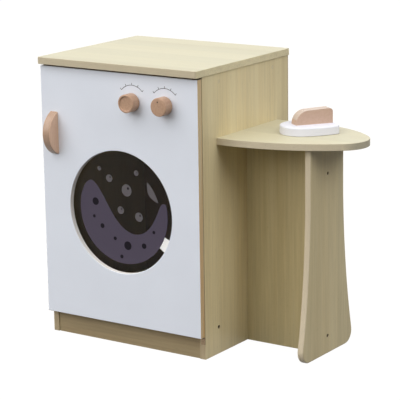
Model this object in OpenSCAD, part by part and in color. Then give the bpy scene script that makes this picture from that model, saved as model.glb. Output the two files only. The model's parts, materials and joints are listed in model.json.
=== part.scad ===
// Toy washing machine: a cabinet of light-wood boards with a round-window door,
// two turning knobs, an ironing board fixed to its right side and a toy iron on it.
//
// Cabinet frame: X from the left face of the left side panel, Y from the front
// edges of the side panels towards the back, Z from the floor. placed() moves it
// so that the origin is the centre of the whole part's footprint.

/* [Cabinet] */
// Width over the side panels
cab_w = 342; // [336:1:360]
// Depth of the side panels
cab_d = 283.5; // [270.5:1:300.5]
// Height to the top of the lid
cab_h = 520; // [516:1:540]
// Thickness of every board
board_t = 12; // [12:0.5:14]
// Thickness of the hardboard back panel
back_t = 3; // [2.5:0.5:4]
// Height of the plinth board, floor to bottom board
plinth_h = 44; // [40:1:50]
// Setback of the plinth board from the side panels' front edges
plinth_setback = 2; // [1:0.5:4]
// Height of the two rails under the lid
rail_h = 30; // [28:1:34]
// Setback of the front rail's middle from the front edges
front_rail_y = 52.5; // [46.5:1:60.5]
// Setback of the back rail's middle from the front edges
back_rail_y = 229.5; // [211.5:1:239.5]

/* [Lid] */
// Overhang of the lid past each side panel
lid_side = 2; // [0.5:0.5:4]
// Overhang of the lid past the door's front
lid_front = 7.5; // [5:0.5:12]
// Overhang of the lid past the side panels' back edges
lid_back = 4; // [4:0.5:8]
// Radius of the lid's corners seen from above
lid_corner_r = 4; // [3:0.5:12]
// Thickness of the lid
lid_t = 12.5; // [12:0.5:14]

/* [Door] */
// Gap between the closed door and the side panels
door_gap = 1.5; // [1.5:0.5:3]
// How far the door's free edge stands past the left side panel's face
door_side = 1; // [0:0.5:1.5]
// Height of the door's bottom edge above the floor
door_z0 = 42; // [40:1:44]
// Gap between the door's top edge and the lid
door_top_gap = 3.5; // [3:0.5:6]
// Radius of the window's hole
window_r = 112.5; // [100:0.5:114]
// Height of the window's centre
window_z = 250.5; // [245:0.5:255]
// Radius of the clear pane behind the hole
pane_r = 124; // [122:0.5:126]
// Thickness of the clear pane
pane_t = 2; // [1.5:0.5:2]
// Radius of the printed film on the pane
print_r = 96.5; // [80:0.5:98]
// Thickness of the printed film
print_t = 0.3; // [0.2:0.1:0.4]
// Side of the handle that faces the hinge, from the door's left edge
handle_x = 36; // [30:1:40]
// Thickness of the half-moon handle
handle_t = 16; // [12:1:18]
// Length of the handle along the door
handle_l = 79.5; // [70:0.5:82]
// How far the handle stands out from the door
handle_d = 27; // [24:1:30]
// Height of the handle's middle
handle_z = 383; // [370:1:390]

/* [Knobs] */
// Distance of the left knob's axis from the door's left edge
left_knob_x = 203; // [195:1:208]
// Distance of the right knob's axis from the door's left edge
right_knob_x = 273; // [265:1:285]
// Height of the knob axes
knob_z = 454; // [445:1:458]
// Radius of the knobs
knob_r = 16.5; // [14:0.5:18]
// Length of the knobs
knob_l = 20; // [18:0.5:22]

/* [Ironing board] */
// Height of the ironing board's top
board_z = 394; // [380:1:400]
// Where the board starts behind the side panel's front edge
board_y0 = 43.5; // [37.5:1:49.5]
// Width of the board at the side panel
board_w = 200; // [190:1:210]
// Radius of the board's long front sweep
sweep_front_r = 340; // [330:5:360]
// Radius of the board's back sweep
sweep_back_r = 190; // [180:5:200]
// Radius of the board's nose
nose_r = 53; // [48:1:56]
// Where the front sweep starts, from the side panel
sweep_front_x = 18; // [14:1:22]
// Where the back sweep starts, from the side panel
sweep_back_x = 88; // [84:1:92]

/* [Leg] */
// Distance from the side panel to the leg's inner face
leg_x = 153; // [145:1:160]
// Width of the leg at its top
leg_top_w = 111; // [100:1:120]
// Radius of the flare down each side of the leg
flare_r = 1360; // [1250:10:1450]
// Height at which the flare of its back side starts
flare_z = 320; // [305:5:330]
// How much further forward than back the top of the leg reaches
leg_front_extra = 5; // [0:0.5:6]
// Height at which the flare of its front side starts
front_flare_z = 288; // [270:2:310]
// Radius of the leg's bottom corners
foot_r = 22; // [16:1:24]
// Setback of the brace's middle, and of the leg's middle
brace_y = 145.5; // [141.5:1:147.5]

/* [Toy iron] */
// Length of the sole, heel to nose
iron_l = 98; // [92:1:106]
// Half of the sole's greatest width
iron_half_w = 41; // [34:1:42]
// Thickness of the sole
iron_t = 15.5; // [14:0.5:18]
// Radius of the sole's two heel corners
heel_corner_r = 10; // [4:1:14]
// Thickness of the iron's handle
grip_t = 21.5; // [16:0.5:24]
// Height of the iron's handle at the heel
grip_h = 26.5; // [25.5:0.5:29]
// Length of the iron's handle
grip_l = 70; // [62:1:74]
// Turn of the iron on the board, heel to nose, from the X axis
iron_turn = 233; // [225:1:245]

/* [Fasteners] */
// Radius of the carcass screws' shanks
carcass_screw_r = 2.5; // [2:0.1:3]
// Radius of the carcass screws' heads
carcass_head_r = 3.4; // [3.2:0.1:4]
// Radius of the small wood screws' shanks
wood_screw_r = 1.75; // [1.5:0.05:2]
// Radius of the dowels
dowel_r = 3; // [2.5:0.5:3]
// Radius of the pivot pins and the knob screws
pin_r = 2; // [1.5:0.1:2.2]

/* [Hidden] */
$fn = 64;

// Small allowances
eps = 0.01;          // overcut that keeps holes open
fit = 0.05;          // clearance of a screw or dowel in its own hole
run = 0.08;          // running clearance of a pin or shaft
seat_gap = 0.2;      // gap between faces that slide or lift apart

// Heights and setbacks that follow from the driving dimensions
side_h = cab_h - lid_t;
floor_z = plinth_h + board_t;                 // top of the bottom board
bottom_mid_z = plinth_h + board_t / 2;
rail_mid_z = side_h - rail_h / 2;
door_back_y = -door_gap;
door_front_y = -door_gap - board_t;
door_z1 = side_h - door_top_gap;
lid_y0 = door_front_y - lid_front;
lid_y1 = cab_d + lid_back;
window_x = cab_w / 2;

// Screws through the side panels: [setback, height]
bottom_screw_y = [43.5, cab_d - 42];
rail_screw_places = [[front_rail_y, rail_mid_z], [back_rail_y, rail_mid_z]];
side_screw_places = concat([for (y = bottom_screw_y) [y, bottom_mid_z]], rail_screw_places);
carcass_screw_l = 38;
carcass_sink = 1.5;                           // head below the panel's face
carcass_head_h = 4;
hex_r = 2.2;                                  // hexagon recess, corner to middle
hex_depth = 2.6;
cap_inset = 0.1;                              // caps over the rail screws, below the panel's face

// Dowels along X at the ends of the plinth and the bottom board: [setback, height]
plinth_mid_y = plinth_setback + board_t / 2;
end_dowel_places = [[plinth_mid_y, 9], [plinth_mid_y, 21], [cab_d / 2, bottom_mid_z]];
dowel_in_face = 8;                            // depth of a dowel in a board's face
dowel_in_edge = 16;                           // depth of a dowel in a board's edge
end_room = 0.5;                               // room left at the end of a blind hole

// Screws up through the rails into the lid
lid_screw_x = [70, cab_w - 70];
lid_screw_l = rail_h + 7;
rail_sink = 2;

// Nails round the back panel: [x, height]
nail_inset = board_t / 2;
nail_r = 0.8;
nail_l = 16;
nail_head_r = 2;
nail_head_t = 0.7;
back_inset = 1;                               // back panel, from the cabinet's sides
back_z0 = 4;                                  // and above the floor
nail_places = [
    for (x = [nail_inset, cab_w - nail_inset], z = [24 : 115 : 484]) [x, z],
    for (x = [90, cab_w / 2, cab_w - 90]) [x, bottom_mid_z]
];

// Ironing board outline: front sweep, nose and back sweep meet tangentially
board_x0 = cab_w;
board_y1 = board_y0 + board_w;
front_c = [board_x0 + sweep_front_x, board_y0 + sweep_front_r];
back_c = [board_x0 + sweep_back_x, board_y1 - sweep_back_r];
nose_c = circles_meet(front_c, sweep_front_r - nose_r, back_c, sweep_back_r - nose_r);
board_tip_x = nose_c[0] + nose_r;
board_under = board_z - board_t;

// Leg and brace
leg_face_x = cab_w + leg_x;
leg_screw_z = [33, board_under - 52];
brace_y0 = brace_y - board_t / 2;
brace_screw_z = [60, 190, 330];
edge_screw_y = [board_y0 + 28, board_y0 + board_w / 2, board_y1 - 28];
wood_screw_l = 34;
wood_head_r = 3.4;
wood_head_h = 2.2;
// Dowels up into the ironing board: [x, y]
up_dowel_places = [
    [cab_w + 40, brace_y], [cab_w + 115, brace_y],
    [leg_face_x + board_t / 2, brace_y - 30], [leg_face_x + board_t / 2, brace_y + 30]
];

// Pivot pins in the middle of the door's thickness, so near its right edge that the door's
// corners swing clear of the side panel
pivot_inset = 4;
pivot_x = cab_w - pivot_inset;
pivot_y = door_front_y + board_t / 2;
bush_r = 3;
bush_l = 12;
bush_flange_r = pivot_inset - 0.1;
bush_flange_t = 0.7;
top_pin_in_lid = 7;
pin_reach = 10;
bracket_t = 1.5;
bracket_w = 2 * pivot_inset;
bracket_top = door_z0 - bush_flange_t - seat_gap;
bracket_z0 = bracket_top - 13;                // foot of the upright flange
bracket_screw_z = bracket_top - 8;
bracket_screw_l = 12;
small_screw_r = 1.5;
small_head_r = 2.9;
small_head_h = 1.4;

// Magnet catch on the left side panel's inner face
catch_z = handle_z;
catch_h = 42;
catch_w = 14;
catch_d = 30;
catch_y0 = door_back_y + 1 + seat_gap;        // front face, just behind the strike plate
catch_ear_t = 3;
catch_ear_inset = 8;                          // ears, from the case's front and back
catch_lip = 0.8;                              // pole plates stand this far out of the case
catch_wall = 1;                               // case wall above and below the pocket
catch_screw_l = 11;
pan_head_h = 1.8;
catch_screw_z = [catch_z - 15, catch_z + 15];
catch_pocket_h = 20;
catch_pocket_d = 20;
magnet_back = 1.5;                            // magnet, behind the pole plates' faces
pole_t = 1;
magnet_t = 5;
strike_t = 1;
strike_h = 30;
strike_w = 12;
strike_screw_l = 9;
strike_x = board_t + catch_w / 2;

// Handle: half-moon cut from a disc
handle_r = (pow(handle_l / 2, 2) + pow(handle_d, 2)) / (2 * handle_d);
handle_disc_y = door_front_y - handle_d + handle_r;
handle_screw_z = [handle_z - 20, handle_z + 20];
handle_screw_x = handle_x - handle_t / 2;
handle_screw_l = 26;

// Pane screws sit in the ring between the hole and the pane's rim
pane_screw_ring_r = (window_r + pane_r) / 2;
pane_screw_r = 1.25;
pane_screw_l = 9;
pane_screw_count = 6;
pane_head_r = 2.6;
pane_y0 = door_back_y - pane_t;                // the pane lies flush in a rebate of its own depth
// Film tab, in degrees below the window's middle
tab_high = 22;
tab_low = 36;

// Knobs
knob_gap = 0.4;
knob_back_y = door_front_y - knob_gap;
knob_screw_reach = 14;
knob_washer_t = 0.8;
knob_washer_r = 5;
knob_head_r = 3.8;
knob_head_h = 2.4;
dish_r = knob_r - 3.5;
dish_d = 2;
dot_r = 1.6;
dot_d = 1.5;
dot_offset = 9;

// Toy iron: heel centre and sole outline
iron_heel = [cab_w + 139.8, 204.9];
iron_z0 = board_z + seat_gap;
iron_heel_half_w = iron_half_w - 5;
iron_wide_x = 37;
sole_side_r = (pow(iron_wide_x, 2) + pow(iron_half_w - iron_heel_half_w, 2))
    / (2 * (iron_half_w - iron_heel_half_w));
sole_side_c = sole_side_r - iron_half_w;      // the side arcs' centres lie this far off the middle
// A nose circle that touches both side arcs and ends at the sole's length
nose_run = iron_l - iron_wide_x;
sole_nose_r = (pow(sole_side_r, 2) - pow(sole_side_c, 2) - pow(nose_run, 2))
    / (2 * (sole_side_r - nose_run));
sole_nose_x = iron_l - sole_nose_r;
iron_screw_x = [20, 50];
iron_screw_l = iron_t + 11;
iron_sink = 0.4;                              // screw heads, above the sole's underside
grip_x0 = 4;                                  // its heel end, ahead of the sole's
grip_fall = 1.5;                              // its top drops this much towards the nose
grip_front_r = 24;
grip_back_r = 6;

// The part's footprint, for centring
part_x0 = -lid_side;
part_y0 = door_front_y - handle_d;
origin_x = (part_x0 + board_tip_x) / 2;
origin_y = (part_y0 + lid_y1) / 2;

// ---- Geometry helpers ----

// Points along an arc, from angle a0 to angle a1
function arc(c, r, a0, a1, n = 16) =
    [for (i = [0 : n]) let (a = a0 + (a1 - a0) * i / n) c + r * [cos(a), sin(a)]];

// Where two circles meet, on the side of larger X
function circles_meet(c1, r1, c2, r2) =
    let (
        d = norm(c2 - c1),
        along = (r1 * r1 - r2 * r2 + d * d) / (2 * d),
        off = sqrt(r1 * r1 - along * along),
        u = (c2 - c1) / d,
        p = c1 + along * u,
        q = p + off * [-u[1], u[0]],
        s = p - off * [-u[1], u[0]]
    )
    q[0] > s[0] ? q : s;

function angle_of(v) = atan2(v[1], v[0]);

// An outline mirrored about the line x = m, in reverse order
function mirrored(points, m) =
    [for (i = [len(points) - 1 : -1 : 0]) [2 * m - points[i][0], points[i][1]]];

// From the cabinet frame to the part's own frame
module placed() translate([-origin_x, -origin_y, 0]) children();

// Turn local +Z to face a direction
module face_right() rotate([0, 90, 0]) children();
module face_left() rotate([0, -90, 0]) children();
module face_front() rotate([90, 0, 0]) children();
module face_back() rotate([-90, 0, 0]) children();
module face_down() rotate([180, 0, 0]) children();

// Extrude an outline drawn in Y and Z along X
module along_x(t) rotate([90, 0, 90]) linear_extrude(t) children();

module box(x0, x1, y0, y1, z0, z1) translate([x0, y0, z0]) cube([x1 - x0, y1 - y0, z1 - z0]);

// ---- Fasteners, each with its head facing local +Z at z = 0 ----

module countersunk_screw(l, r, head_r, head_h) {
    tip = 2 * r;
    difference() {
        union() {
            translate([0, 0, -head_h]) cylinder(h = head_h, r1 = r, r2 = head_r);
            translate([0, 0, tip - l]) cylinder(h = l - tip - head_h + eps, r = r);
            translate([0, 0, -l]) cylinder(h = tip, r1 = 0.3, r2 = r);
        }
        cross_recess(head_r, head_h * 0.7);
    }
}

module countersunk_hole(l, r, head_r, head_h) {
    translate([0, 0, -head_h - fit]) cylinder(h = head_h + fit, r1 = r + fit, r2 = head_r + fit);
    translate([0, 0, -l - 1]) cylinder(h = l + 1 - head_h, r = r + fit);
    translate([0, 0, -eps]) cylinder(h = 1, r = head_r + fit);
}

module pan_screw(l, r, head_r, head_h) {
    difference() {
        union() {
            cylinder(h = head_h * 0.6, r = head_r);
            translate([0, 0, head_h * 0.6 - eps])
                cylinder(h = head_h * 0.4, r1 = head_r, r2 = head_r * 0.7);
            translate([0, 0, -l]) cylinder(h = l + eps, r = r);
        }
        translate([0, 0, head_h]) cross_recess(head_r, head_h * 0.6);
    }
}

module cross_recess(head_r, depth) {
    slot = head_r * 0.22;
    for (turn = [0, 90])
        rotate(turn) translate([-head_r * 0.55, -slot / 2, -depth]) cube([head_r * 1.1, slot, depth + 1]);
}

module carcass_screw() {
    translate([0, 0, -carcass_sink]) difference() {
        union() {
            translate([0, 0, -carcass_head_h]) cylinder(h = carcass_head_h, r = carcass_head_r);
            translate([0, 0, -carcass_screw_l])
                cylinder(h = carcass_screw_l - carcass_head_h + eps, r = carcass_screw_r);
        }
        translate([0, 0, -hex_depth]) cylinder(h = hex_depth + 1, r = hex_r, $fn = 6);
    }
}

module carcass_screw_hole() {
    head_deep = carcass_sink + carcass_head_h + fit;
    translate([0, 0, -head_deep]) cylinder(h = head_deep + 1, r = carcass_head_r + fit);
    translate([0, 0, -carcass_screw_l - carcass_sink - 1])
        cylinder(h = carcass_screw_l + 1, r = carcass_screw_r + fit);
}

// A dowel along local Z, from -edge depth to +face depth, and its hole
module dowel()
    translate([0, 0, end_room - dowel_in_edge])
        cylinder(h = dowel_in_edge + dowel_in_face - 2 * end_room, r = dowel_r);

module dowel_hole()
    translate([0, 0, -dowel_in_edge])
        cylinder(h = dowel_in_edge + dowel_in_face, r = dowel_r + fit);

// ---- Places shared by the pieces and their holes ----

module at_side_screws(places = side_screw_places) {
    for (p = places) {
        translate([0, p[0], p[1]]) face_left() children();
        translate([cab_w, p[0], p[1]]) face_right() children();
    }
}

module at_end_dowels() {
    for (p = end_dowel_places) {
        translate([board_t, p[0], p[1]]) face_left() children();
        translate([cab_w - board_t, p[0], p[1]]) face_right() children();
    }
}

module at_leg_screws()
    for (z = leg_screw_z) translate([leg_face_x + board_t, brace_y, z]) face_right() children();

module at_edge_screws() {
    for (y = edge_screw_y) translate([cab_w - board_t, y, board_z - board_t / 2]) face_left() children();
    for (z = brace_screw_z) translate([cab_w - board_t, brace_y, z]) face_left() children();
}

module at_up_dowels()
    for (p = up_dowel_places) translate([p[0], p[1], board_under]) children();

module at_lid_screws()
    for (x = lid_screw_x, y = [front_rail_y, back_rail_y])
        translate([x, y, side_h - rail_h + rail_sink]) face_down() children();

module at_nails()
    for (p = nail_places) translate([p[0], cab_d + back_t, p[1]]) face_back() children();

module at_pane_screws()
    translate([window_x, door_back_y, window_z]) face_back()
        for (i = [0 : pane_screw_count - 1])
            rotate(i * 360 / pane_screw_count + 30) translate([pane_screw_ring_r, 0, 0]) children();

module at_handle_screws()
    for (z = handle_screw_z) translate([handle_screw_x, door_back_y, z]) face_back() children();

module at_catch_screws()
    for (z = catch_screw_z)
        translate([board_t + catch_ear_t, catch_y0 + catch_d / 2, z]) face_right() children();

module at_strike_screw() translate([strike_x, door_back_y + strike_t, catch_z]) face_back() children();

module at_bracket_screw() translate([pivot_x, -bracket_t, bracket_screw_z]) face_front() children();

// ---- Cabinet ----

module side_panel_blank(x0) box(x0, x0 + board_t, 0, cab_d, 0, side_h);

module left_side_panel() placed() color("burlywood") difference() {
    side_panel_blank(0);
    at_side_screws() carcass_screw_hole();
    at_end_dowels() dowel_hole();
    at_nails() nail_hole();
    at_catch_screws() small_screw_hole(catch_screw_l);
}

module right_side_panel() placed() color("burlywood") difference() {
    side_panel_blank(cab_w - board_t);
    at_side_screws() carcass_screw_hole();
    at_end_dowels() dowel_hole();
    at_nails() nail_hole();
    at_edge_screws() countersunk_hole(wood_screw_l, wood_screw_r, wood_head_r, wood_head_h);
    at_bracket_screw() small_screw_hole(bracket_screw_l);
}

module bottom_board() placed() color("burlywood") difference() {
    box(board_t, cab_w - board_t, 0, cab_d, plinth_h, floor_z);
    at_side_screws() carcass_screw_hole();
    at_end_dowels() dowel_hole();
    at_nails() nail_hole();
}

module plinth_board() placed() color("burlywood") difference() {
    box(board_t, cab_w - board_t, plinth_setback, plinth_setback + board_t, 0, plinth_h);
    at_end_dowels() dowel_hole();
}

module top_rail(y) difference() {
    box(board_t, cab_w - board_t, y - board_t / 2, y + board_t / 2, side_h - rail_h, side_h);
    at_side_screws() carcass_screw_hole();
    at_lid_screws() countersunk_hole(lid_screw_l, wood_screw_r, wood_head_r, wood_head_h);
    at_lid_screws() cylinder(h = rail_sink + 1, r = wood_head_r + fit);
}

module front_top_rail() placed() color("burlywood") top_rail(front_rail_y);

module back_top_rail() placed() color("burlywood") top_rail(back_rail_y);

module back_panel() placed() color("peru") difference() {
    box(back_inset, cab_w - back_inset, cab_d, cab_d + back_t, back_z0, side_h);
    at_nails() nail_hole();
}

module nail_hole() translate([0, 0, -nail_l]) cylinder(h = nail_l + 1, r = nail_r + fit);

module back_panel_nails() placed() color("silver") at_nails() {
    cylinder(h = nail_head_t, r = nail_head_r);
    translate([0, 0, end_room - nail_l]) cylinder(h = nail_l - end_room + eps, r = nail_r);
}

module lid_board() placed() color("wheat") difference() {
    translate([0, 0, side_h]) linear_extrude(lid_t) lid_outline();
    at_lid_screws() translate([0, 0, -lid_screw_l - 1]) cylinder(h = lid_screw_l, r = wood_screw_r + fit);
    translate([pivot_x, pivot_y, side_h - 1]) cylinder(h = top_pin_in_lid + 1, r = pin_r + fit);
}

module lid_outline() {
    x0 = -lid_side + lid_corner_r;
    x1 = cab_w + lid_side - lid_corner_r;
    y0 = lid_y0 + lid_corner_r;
    y1 = lid_y1 - lid_corner_r;
    polygon(concat(
        arc([x0, y0], lid_corner_r, 180, 270, 8), arc([x1, y0], lid_corner_r, 270, 360, 8),
        arc([x1, y1], lid_corner_r, 0, 90, 8), arc([x0, y1], lid_corner_r, 90, 180, 8)));
}

module carcass_screws() placed() color("dimgray") at_side_screws() carcass_screw();

// Caps that hide the screws into the rails
module rail_screw_caps() placed() color("tan") at_side_screws(rail_screw_places)
    translate([0, 0, -carcass_sink]) cylinder(h = carcass_sink - cap_inset, r = carcass_head_r);

module carcass_dowels() placed() color("tan") at_end_dowels() dowel();

module lid_screws() placed() color("silver")
    at_lid_screws() countersunk_screw(lid_screw_l, wood_screw_r, wood_head_r, wood_head_h);

// ---- Ironing board, brace and leg ----

module ironing_board() placed() color("wheat") difference() {
    translate([0, 0, board_under]) linear_extrude(board_t) ironing_board_outline();
    at_up_dowels() dowel_hole();
    at_edge_screws() countersunk_hole(wood_screw_l, wood_screw_r, wood_head_r, wood_head_h);
}

module ironing_board_outline() {
    front_end = angle_of(nose_c - front_c);
    back_start = angle_of(nose_c - back_c);
    polygon(concat(
        [[board_x0, board_y0]],
        arc(front_c, sweep_front_r, -90, front_end, 14),
        arc(nose_c, nose_r, front_end + 4, back_start - 4, 24),
        arc(back_c, sweep_back_r, back_start, 90, 14),
        [[board_x0, board_y1]]));
}

module brace_panel() placed() color("burlywood") difference() {
    box(cab_w, leg_face_x, brace_y0, brace_y0 + board_t, 0, board_under);
    at_edge_screws() countersunk_hole(wood_screw_l, wood_screw_r, wood_head_r, wood_head_h);
    at_leg_screws() carcass_screw_hole();
    at_up_dowels() dowel_hole();
}

module leg_panel() placed() color("burlywood") difference() {
    translate([leg_face_x, 0, 0]) along_x(board_t) leg_outline();
    at_leg_screws() carcass_screw_hole();
    at_up_dowels() dowel_hole();
}

// Straight sides that flare out in a long arc and end in rounded bottom corners
module leg_outline() {
    back = leg_side(leg_top_w / 2, flare_z);
    front = leg_side(leg_top_w / 2 + leg_front_extra, front_flare_z);
    polygon(concat(back, mirrored(front, brace_y)));
}

// One side of the leg from the foot up: reach at the top, and where its flare starts
function leg_side(reach, start_z) =
    let (flare_c = [brace_y + reach + flare_r, start_z],
         rise = start_z - foot_r,
         foot_c = [flare_c[0] - sqrt(pow(flare_r + foot_r, 2) - pow(rise, 2)), foot_r],
         foot_end = angle_of(flare_c - foot_c))
    concat(
        arc(foot_c, foot_r, -90, foot_end, 12),
        arc(flare_c, flare_r, 180 + foot_end - 1, 180, 14),
        [[brace_y + reach, board_under]]);

module leg_screws() placed() color("dimgray") at_leg_screws() carcass_screw();

module ironing_board_screws() placed() color("silver")
    at_edge_screws() countersunk_screw(wood_screw_l, wood_screw_r, wood_head_r, wood_head_h);

module ironing_board_dowels() placed() color("tan") at_up_dowels() dowel();

// ---- Door pivots on the cabinet ----

module top_pivot_pin() placed() color("silver")
    translate([pivot_x, pivot_y, door_z1 - pin_reach])
        cylinder(h = pin_reach + door_top_gap + top_pin_in_lid - 0.5, r = pin_r);

module bottom_pivot_pin() placed() color("silver")
    translate([pivot_x, pivot_y, bracket_top - bracket_t])
        cylinder(h = bracket_t + seat_gap + bush_flange_t + pin_reach, r = pin_r);

module bottom_pivot_bracket() placed() color("gray") difference() {
    union() {
        box(pivot_x - bracket_w / 2, pivot_x + bracket_w / 2, pivot_y, 0,
            bracket_top - bracket_t, bracket_top);
        translate([pivot_x, pivot_y, bracket_top - bracket_t]) cylinder(h = bracket_t, r = bracket_w / 2);
        box(pivot_x - bracket_w / 2, pivot_x + bracket_w / 2, -bracket_t, 0, bracket_z0, bracket_top);
    }
    translate([pivot_x, pivot_y, bracket_top - 3]) cylinder(h = 4, r = pin_r + fit);
    at_bracket_screw() countersunk_hole(4, small_screw_r, small_head_r, small_head_h);
}

module pivot_bracket_screw() placed() color("silver")
    at_bracket_screw() countersunk_screw(bracket_screw_l, small_screw_r, small_head_r, small_head_h);

module small_screw_hole(l) translate([0, 0, -l - 1]) cylinder(h = l + 2, r = small_screw_r + fit);

// ---- Magnet catch ----

module magnet_catch_case() placed() color("whitesmoke") difference() {
    union() {
        box(board_t, board_t + catch_ear_t,
            catch_y0 + catch_ear_inset, catch_y0 + catch_d - catch_ear_inset,
            catch_z - catch_h / 2, catch_z + catch_h / 2);
        box(board_t, board_t + catch_w, catch_y0 + catch_lip, catch_y0 + catch_d,
            catch_z - catch_pocket_h / 2 - catch_wall, catch_z + catch_pocket_h / 2 + catch_wall);
    }
    catch_pocket(fit);
    at_catch_screws() small_screw_hole(4);
}

// Room for the magnet between its two steel plates
module catch_pocket(gap)
    box(strike_x - magnet_t / 2 - pole_t - gap, strike_x + magnet_t / 2 + pole_t + gap,
        catch_y0 - 1, catch_y0 + catch_pocket_d + gap,
        catch_z - catch_pocket_h / 2 - gap, catch_z + catch_pocket_h / 2 + gap);

module catch_magnet() placed() color("darkslategray")
    box(strike_x - magnet_t / 2 + fit, strike_x + magnet_t / 2 - fit,
        catch_y0 + magnet_back, catch_y0 + catch_pocket_d,
        catch_z - catch_pocket_h / 2, catch_z + catch_pocket_h / 2);

module catch_pole_plates() placed() color("silver")
    for (x = [strike_x - magnet_t / 2 - pole_t, strike_x + magnet_t / 2])
        box(x, x + pole_t, catch_y0, catch_y0 + catch_pocket_d,
            catch_z - catch_pocket_h / 2, catch_z + catch_pocket_h / 2);

module magnet_catch_screws() placed() color("silver")
    at_catch_screws() pan_screw(catch_screw_l, small_screw_r, small_head_r, pan_head_h);

// ---- Door ----

module door_panel() placed() color("white") difference() {
    box(-door_side, cab_w, door_front_y, door_back_y, door_z0, door_z1);
    translate([window_x, door_back_y + 1, window_z]) face_front() {
        cylinder(h = board_t + 2, r = window_r);
        cylinder(h = pane_t + 1, r = pane_r + fit);
    }
    at_pane_screws() translate([0, 0, -pane_screw_l - 1])
        cylinder(h = pane_screw_l + 2, r = pane_screw_r + fit);
    at_handle_screws() countersunk_hole(handle_screw_l, wood_screw_r, wood_head_r, wood_head_h);
    at_strike_screw() small_screw_hole(strike_screw_l);
    for (x = [left_knob_x, right_knob_x])
        translate([x, door_back_y + 1, knob_z]) face_front() cylinder(h = board_t + 2, r = pin_r + run);
    translate([pivot_x, pivot_y, door_z0 - 1]) cylinder(h = bush_l + 1, r = bush_r + fit);
    translate([pivot_x, pivot_y, door_z1 - bush_l]) cylinder(h = bush_l + 1, r = bush_r + fit);
}

module window_pane() placed() color("lightblue", 0.4) difference() {
    translate([window_x, door_back_y, window_z]) face_front() cylinder(h = pane_t, r = pane_r);
    at_pane_screws() translate([0, 0, -pane_t - 1]) cylinder(h = pane_t + 2, r = pane_screw_r + fit);
}

module window_print() placed() color("slategray")
    translate([window_x, pane_y0, window_z]) face_front() cylinder(h = print_t, r = print_r);

// The white tab that peels the film off, between its rim and the hole's edge
module window_film_tab() placed() color("white")
    translate([window_x, pane_y0, window_z]) face_front() linear_extrude(print_t)
        polygon(concat(
            arc([0, 0], print_r + seat_gap, -tab_low, -tab_high, 6),
            arc([0, 0], window_r - seat_gap, -tab_high, -tab_low, 6)));

module window_screws() placed() color("silver")
    at_pane_screws() pan_screw(pane_screw_l, pane_screw_r, pane_head_r, pan_head_h);

module door_handle() placed() color("rosybrown") difference() {
    intersection() {
        translate([handle_x, handle_disc_y, handle_z]) face_left() cylinder(h = handle_t, r = handle_r);
        box(handle_x - handle_t, handle_x, door_front_y - handle_d - 1, door_front_y,
            handle_z - handle_l, handle_z + handle_l);
    }
    at_handle_screws() countersunk_hole(handle_screw_l, wood_screw_r, wood_head_r, wood_head_h);
}

module handle_screws() placed() color("silver")
    at_handle_screws() countersunk_screw(handle_screw_l, wood_screw_r, wood_head_r, wood_head_h);

module strike_plate() placed() color("silver") difference() {
    box(strike_x - strike_w / 2, strike_x + strike_w / 2, door_back_y, door_back_y + strike_t,
        catch_z - strike_h / 2, catch_z + strike_h / 2);
    at_strike_screw() translate([0, 0, -1 - strike_t])
        cylinder(h = 2 + strike_t, r1 = small_screw_r, r2 = small_head_r + 1);
    at_strike_screw() small_screw_hole(4);
}

module strike_plate_screw() placed() color("silver") at_strike_screw()
    translate([0, 0, -strike_t]) difference() {
        union() {
            cylinder(h = strike_t, r1 = small_screw_r + 0.3, r2 = small_head_r - 0.6);
            translate([0, 0, 1 - strike_screw_l]) cylinder(h = strike_screw_l - 1 + eps, r = small_screw_r);
        }
        translate([0, 0, strike_t]) cross_recess(small_head_r - 0.7, strike_t * 0.7);
    }

module pivot_bush() difference() {
    union() {
        translate([0, 0, -bush_l + 0.5]) cylinder(h = bush_l - 0.5, r = bush_r);
        cylinder(h = bush_flange_t, r = bush_flange_r);
    }
    translate([0, 0, -bush_l]) cylinder(h = bush_l + 2, r = pin_r + run);
}

module top_pivot_bush() placed() color("ivory") translate([pivot_x, pivot_y, door_z1]) pivot_bush();

module bottom_pivot_bush() placed() color("ivory")
    translate([pivot_x, pivot_y, door_z0]) face_down() pivot_bush();

// ---- Knobs: local +Z points out of the door from the knob's back ----

module at_knob(x) translate([x, knob_back_y, knob_z]) face_front() children();

module knob_blank() difference() {
    cylinder(h = knob_l, r = knob_r);
    translate([0, 0, -1]) cylinder(h = knob_screw_reach + 2, r = pin_r + fit);
}

// The left knob has a dished face
module left_knob() placed() color("tan") at_knob(left_knob_x) difference() {
    knob_blank();
    translate([0, 0, knob_l - dish_d]) cylinder(h = dish_d + 1, r = dish_r);
}

// The right knob has a flat face with a drilled pointer dot
module right_knob() placed() color("tan") at_knob(right_knob_x) difference() {
    knob_blank();
    translate([0, dot_offset, knob_l - dot_d]) cylinder(h = dot_d + 1, r = dot_r);
}

module knob_screw() {
    head_at = -(board_t + knob_gap + knob_washer_t + seat_gap);
    translate([0, 0, head_at]) face_down()
        pan_screw(knob_screw_reach - head_at, pin_r, knob_head_r, knob_head_h);
}

module knob_washer()
    translate([0, 0, -(board_t + knob_gap + knob_washer_t)]) difference() {
        cylinder(h = knob_washer_t, r = knob_washer_r);
        translate([0, 0, -1]) cylinder(h = knob_washer_t + 2, r = pin_r + run);
    }

module left_knob_screw() placed() color("silver") at_knob(left_knob_x) knob_screw();

module left_knob_washer() placed() color("gray") at_knob(left_knob_x) knob_washer();

module right_knob_screw() placed() color("silver") at_knob(right_knob_x) knob_screw();

module right_knob_washer() placed() color("gray") at_knob(right_knob_x) knob_washer();

// ---- Toy iron: local X from the heel to the nose ----

module iron_placed() translate([iron_heel[0], iron_heel[1], iron_z0]) rotate(iron_turn) children();

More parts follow.
